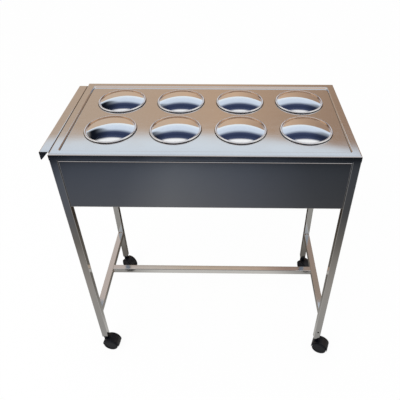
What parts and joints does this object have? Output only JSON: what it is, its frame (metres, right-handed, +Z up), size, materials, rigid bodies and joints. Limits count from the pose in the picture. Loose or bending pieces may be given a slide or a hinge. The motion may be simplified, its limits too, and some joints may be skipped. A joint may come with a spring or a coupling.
{
  "type": "masala trolley",
  "caption": "Stainless catering trolley: worktop with lidded round pots hung in a sunken deck, apron panels, end handle, H stretcher and swivelling twin-wheel casters.",
  "frame": {"origin": "on the floor, under the middle of the worktop", "axes": "+Z up, +X towards the trolley's right end, away from the handle, +Y towards its back"},
  "size_m": [0.8258, 0.4222, 0.8498],
  "materials": {
    "top_sheet": "bright rolled stainless sheet",
    "panel_sheet": "satin stainless sheet",
    "tube_steel": "polished stainless tube",
    "pot_steel": "satin stainless, drawn",
    "lid_steel": "mirror polished stainless, spun",
    "black_plastic": "moulded black nylon",
    "wheel_plastic": "moulded black nylon, scuffed",
    "plated_steel": "zinc plated",
    "rivet_metal": "plain"
  },
  "bodies": {
    "frame": {"worktop": "top_sheet", "deck": "top_sheet", "side_handle": "top_sheet", "handle_rivets": "rivet_metal", "insert_screws": "plated_steel", "panel_front": "panel_sheet", "panel_rear": "panel_sheet", "panel_left": "panel_sheet", "panel_right": "panel_sheet", "cross_stretcher": "tube_steel", "side_stretcher_left": "tube_steel", "side_stretcher_right": "tube_steel", "rail_front": "tube_steel", "rail_rear": "tube_steel", "rail_left": "tube_steel", "rail_right": "tube_steel", "leg_front_left": "tube_steel", "leg_insert_front_left": "black_plastic", "caster_stem_front_left": "plated_steel", "leg_front_right": "tube_steel", "leg_insert_front_right": "black_plastic", "caster_stem_front_right": "plated_steel", "leg_rear_left": "tube_steel", "leg_insert_rear_left": "black_plastic", "caster_stem_rear_left": "plated_steel", "leg_rear_right": "tube_steel", "leg_insert_rear_right": "black_plastic", "caster_stem_rear_right": "plated_steel"},
    "pot_front_1": {"pot_front_1": "pot_steel"},
    "lid_front_1": {"lid_front_1": "lid_steel"},
    "pot_front_2": {"pot_front_2": "pot_steel"},
    "lid_front_2": {"lid_front_2": "lid_steel"},
    "pot_front_3": {"pot_front_3": "pot_steel"},
    "lid_front_3": {"lid_front_3": "lid_steel"},
    "pot_front_4": {"pot_front_4": "pot_steel"},
    "lid_front_4": {"lid_front_4": "lid_steel"},
    "pot_back_1": {"pot_back_1": "pot_steel"},
    "lid_back_1": {"lid_back_1": "lid_steel"},
    "pot_back_2": {"pot_back_2": "pot_steel"},
    "lid_back_2": {"lid_back_2": "lid_steel"},
    "pot_back_3": {"pot_back_3": "pot_steel"},
    "lid_back_3": {"lid_back_3": "lid_steel"},
    "pot_back_4": {"pot_back_4": "pot_steel"},
    "lid_back_4": {"lid_back_4": "lid_steel"},
    "caster_front_left": {"caster_hood_front_left": "black_plastic", "caster_axle_front_left": "plated_steel"},
    "caster_wheel_a_front_left": {"caster_wheel_a_front_left": "wheel_plastic"},
    "caster_wheel_b_front_left": {"caster_wheel_b_front_left": "wheel_plastic"},
    "caster_front_right": {"caster_hood_front_right": "black_plastic", "caster_axle_front_right": "plated_steel"},
    "caster_wheel_a_front_right": {"caster_wheel_a_front_right": "wheel_plastic"},
    "caster_wheel_b_front_right": {"caster_wheel_b_front_right": "wheel_plastic"},
    "caster_rear_left": {"caster_hood_rear_left": "black_plastic", "caster_axle_rear_left": "plated_steel"},
    "caster_wheel_a_rear_left": {"caster_wheel_a_rear_left": "wheel_plastic"},
    "caster_wheel_b_rear_left": {"caster_wheel_b_rear_left": "wheel_plastic"},
    "caster_rear_right": {"caster_hood_rear_right": "black_plastic", "caster_axle_rear_right": "plated_steel"},
    "caster_wheel_a_rear_right": {"caster_wheel_a_rear_right": "wheel_plastic"},
    "caster_wheel_b_rear_right": {"caster_wheel_b_rear_right": "wheel_plastic"}
  },
  "joints": [
    {"name": "pot_front_1_lift", "type": "slide", "parent": "frame", "child": "pot_front_1", "axis": [0, 0, 1], "range_m": [0, 0.15]},
    {"name": "lid_front_1_lift", "type": "slide", "parent": "pot_front_1", "child": "lid_front_1", "axis": [0, 0, 1], "range_m": [0, 0.12]},
    {"name": "pot_front_2_lift", "type": "slide", "parent": "frame", "child": "pot_front_2", "axis": [0, 0, 1], "range_m": [0, 0.15]},
    {"name": "lid_front_2_lift", "type": "slide", "parent": "pot_front_2", "child": "lid_front_2", "axis": [0, 0, 1], "range_m": [0, 0.12]},
    {"name": "pot_front_3_lift", "type": "slide", "parent": "frame", "child": "pot_front_3", "axis": [0, 0, 1], "range_m": [0, 0.15]},
    {"name": "lid_front_3_lift", "type": "slide", "parent": "pot_front_3", "child": "lid_front_3", "axis": [0, 0, 1], "range_m": [0, 0.12]},
    {"name": "pot_front_4_lift", "type": "slide", "parent": "frame", "child": "pot_front_4", "axis": [0, 0, 1], "range_m": [0, 0.15]},
    {"name": "lid_front_4_lift", "type": "slide", "parent": "pot_front_4", "child": "lid_front_4", "axis": [0, 0, 1], "range_m": [0, 0.12]},
    {"name": "pot_back_1_lift", "type": "slide", "parent": "frame", "child": "pot_back_1", "axis": [0, 0, 1], "range_m": [0, 0.15]},
    {"name": "lid_back_1_lift", "type": "slide", "parent": "pot_back_1", "child": "lid_back_1", "axis": [0, 0, 1], "range_m": [0, 0.12]},
    {"name": "pot_back_2_lift", "type": "slide", "parent": "frame", "child": "pot_back_2", "axis": [0, 0, 1], "range_m": [0, 0.15]},
    {"name": "lid_back_2_lift", "type": "slide", "parent": "pot_back_2", "child": "lid_back_2", "axis": [0, 0, 1], "range_m": [0, 0.12]},
    {"name": "pot_back_3_lift", "type": "slide", "parent": "frame", "child": "pot_back_3", "axis": [0, 0, 1], "range_m": [0, 0.15]},
    {"name": "lid_back_3_lift", "type": "slide", "parent": "pot_back_3", "child": "lid_back_3", "axis": [0, 0, 1], "range_m": [0, 0.12]},
    {"name": "pot_back_4_lift", "type": "slide", "parent": "frame", "child": "pot_back_4", "axis": [0, 0, 1], "range_m": [0, 0.15]},
    {"name": "lid_back_4_lift", "type": "slide", "parent": "pot_back_4", "child": "lid_back_4", "axis": [0, 0, 1], "range_m": [0, 0.12]},
    {"name": "caster_front_left_swivel", "type": "hinge", "parent": "frame", "child": "caster_front_left", "pos_m": [-0.371, -0.185, 0.0657], "axis": [0, 0, 1], "continuous": true},
    {"name": "caster_wheel_a_front_left_spin", "type": "hinge", "parent": "caster_front_left", "child": "caster_wheel_a_front_left", "pos_m": [-0.35318, -0.18751, 0.025], "axis": [0.1392, 0.9903, 0], "continuous": true},
    {"name": "caster_wheel_b_front_left_spin", "type": "hinge", "parent": "caster_front_left", "child": "caster_wheel_b_front_left", "pos_m": [-0.35318, -0.18751, 0.025], "axis": [0.1392, 0.9903, 0], "continuous": true},
    {"name": "caster_front_right_swivel", "type": "hinge", "parent": "frame", "child": "caster_front_right", "pos_m": [0.371, -0.185, 0.0657], "axis": [0, 0, 1], "continuous": true},
    {"name": "caster_wheel_a_front_right_spin", "type": "hinge", "parent": "caster_front_right", "child": "caster_wheel_a_front_right", "pos_m": [0.38769, -0.19174, 0.025], "axis": [0.3746, 0.9272, 0], "continuous": true},
    {"name": "caster_wheel_b_front_right_spin", "type": "hinge", "parent": "caster_front_right", "child": "caster_wheel_b_front_right", "pos_m": [0.38769, -0.19174, 0.025], "axis": [0.3746, 0.9272, 0], "continuous": true},
    {"name": "caster_rear_left_swivel", "type": "hinge", "parent": "frame", "child": "caster_rear_left", "pos_m": [-0.371, 0.185, 0.0657], "axis": [0, 0, 1], "continuous": true},
    {"name": "caster_wheel_a_rear_left_spin", "type": "hinge", "parent": "caster_rear_left", "child": "caster_wheel_a_rear_left", "pos_m": [-0.35682, 0.17392, 0.025], "axis": [0.6157, 0.788, 0], "continuous": true},
    {"name": "caster_wheel_b_rear_left_spin", "type": "hinge", "parent": "caster_rear_left", "child": "caster_wheel_b_rear_left", "pos_m": [-0.35682, 0.17392, 0.025], "axis": [0.6157, 0.788, 0], "continuous": true},
    {"name": "caster_rear_right_swivel", "type": "hinge", "parent": "frame", "child": "caster_rear_right", "pos_m": [0.371, 0.185, 0.0657], "axis": [0, 0, 1], "continuous": true},
    {"name": "caster_wheel_a_rear_right_spin", "type": "hinge", "parent": "caster_rear_right", "child": "caster_wheel_a_rear_right", "pos_m": [0.38106, 0.17008, 0.025], "axis": [0.829, 0.5592, 0], "continuous": true},
    {"name": "caster_wheel_b_rear_right_spin", "type": "hinge", "parent": "caster_rear_right", "child": "caster_wheel_b_rear_right", "pos_m": [0.38106, 0.17008, 0.025], "axis": [0.829, 0.5592, 0], "continuous": true}
  ]
}
